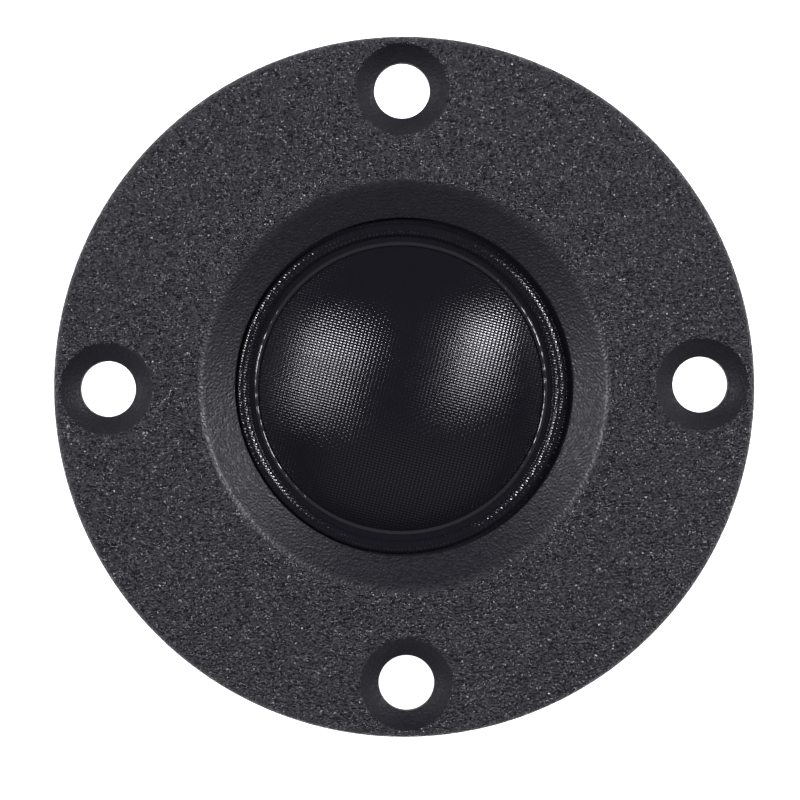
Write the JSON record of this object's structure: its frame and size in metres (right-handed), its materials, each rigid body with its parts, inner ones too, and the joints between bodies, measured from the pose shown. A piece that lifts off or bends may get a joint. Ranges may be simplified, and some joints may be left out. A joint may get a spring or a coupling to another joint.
{
  "type": "tweeter",
  "caption": "Soft-dome tweeter on a round black plastic faceplate with a dished mouth and countersunk screw holes, a flat neodymium motor, a rear chamber and push-on tabs.",
  "frame": {"origin": "middle of the rear cup's flat back, on the driver's axis", "axes": "+Z out of the face along the driver's axis, +X to the right and +Y up when the face is seen square on, with the terminals on the -Y side"},
  "size_m": [0.062, 0.062, 0.0236],
  "materials": {
    "faceplate_plastic": "fine grain, black",
    "plain_plastic": "smooth satin black",
    "coated_silk": "black plain weave with a glossy doping coat",
    "clear_glue": "glossy dark adhesive",
    "amber_film": "amber polyimide film",
    "enamelled_wire": "red-brown enamelled copper wire",
    "copper": "bright copper",
    "zinc_plated_steel": "clear zinc plate",
    "nickel_plate": "nickel plate",
    "black_screw": "black oxide",
    "tinned_brass": "tin plate",
    "solder": "bright solder",
    "grey_felt": "wool felt",
    "charcoal_foam": "open-cell foam",
    "foam_rubber": "closed-cell foam rubber",
    "phenolic_board": "brown phenolic sheet"
  },
  "bodies": {
    "driver": {"faceplate": "faceplate_plastic", "diaphragm_carrier": "plain_plastic", "surround": "coated_silk", "lead_wire_positive": "copper", "lead_wire_negative": "copper", "top_plate": "zinc_plated_steel", "ring_magnet": "nickel_plate", "pole_yoke": "zinc_plated_steel", "copper_cap": "copper", "pole_damping_pad": "grey_felt", "vent_foam": "charcoal_foam", "rear_chamber_cup": "plain_plastic", "rear_chamber_foam": "charcoal_foam", "rear_chamber_gasket": "foam_rubber", "assembly_screw_1": "black_screw", "assembly_screw_2": "black_screw", "assembly_screw_3": "black_screw", "terminal_board": "phenolic_board", "board_rivet": "tinned_brass", "terminal_positive": "tinned_brass", "terminal_negative": "tinned_brass", "terminal_rivet_positive": "tinned_brass", "terminal_rivet_negative": "tinned_brass", "solder_joint_positive": "solder", "solder_joint_negative": "solder"},
    "diaphragm": {"dome": "coated_silk", "bond_bead": "clear_glue", "voice_coil_former": "amber_film", "voice_coil_winding": "enamelled_wire"}
  },
  "joints": [
    {"name": "diaphragm_travel", "type": "slide", "parent": "driver", "child": "diaphragm", "axis": [0, 0, 1], "range_m": [-0.0004, 0.0004], "stiffness_N_per_m": 12000, "deforming": ["surround", "lead_wire_positive", "lead_wire_negative"]}
  ]
}
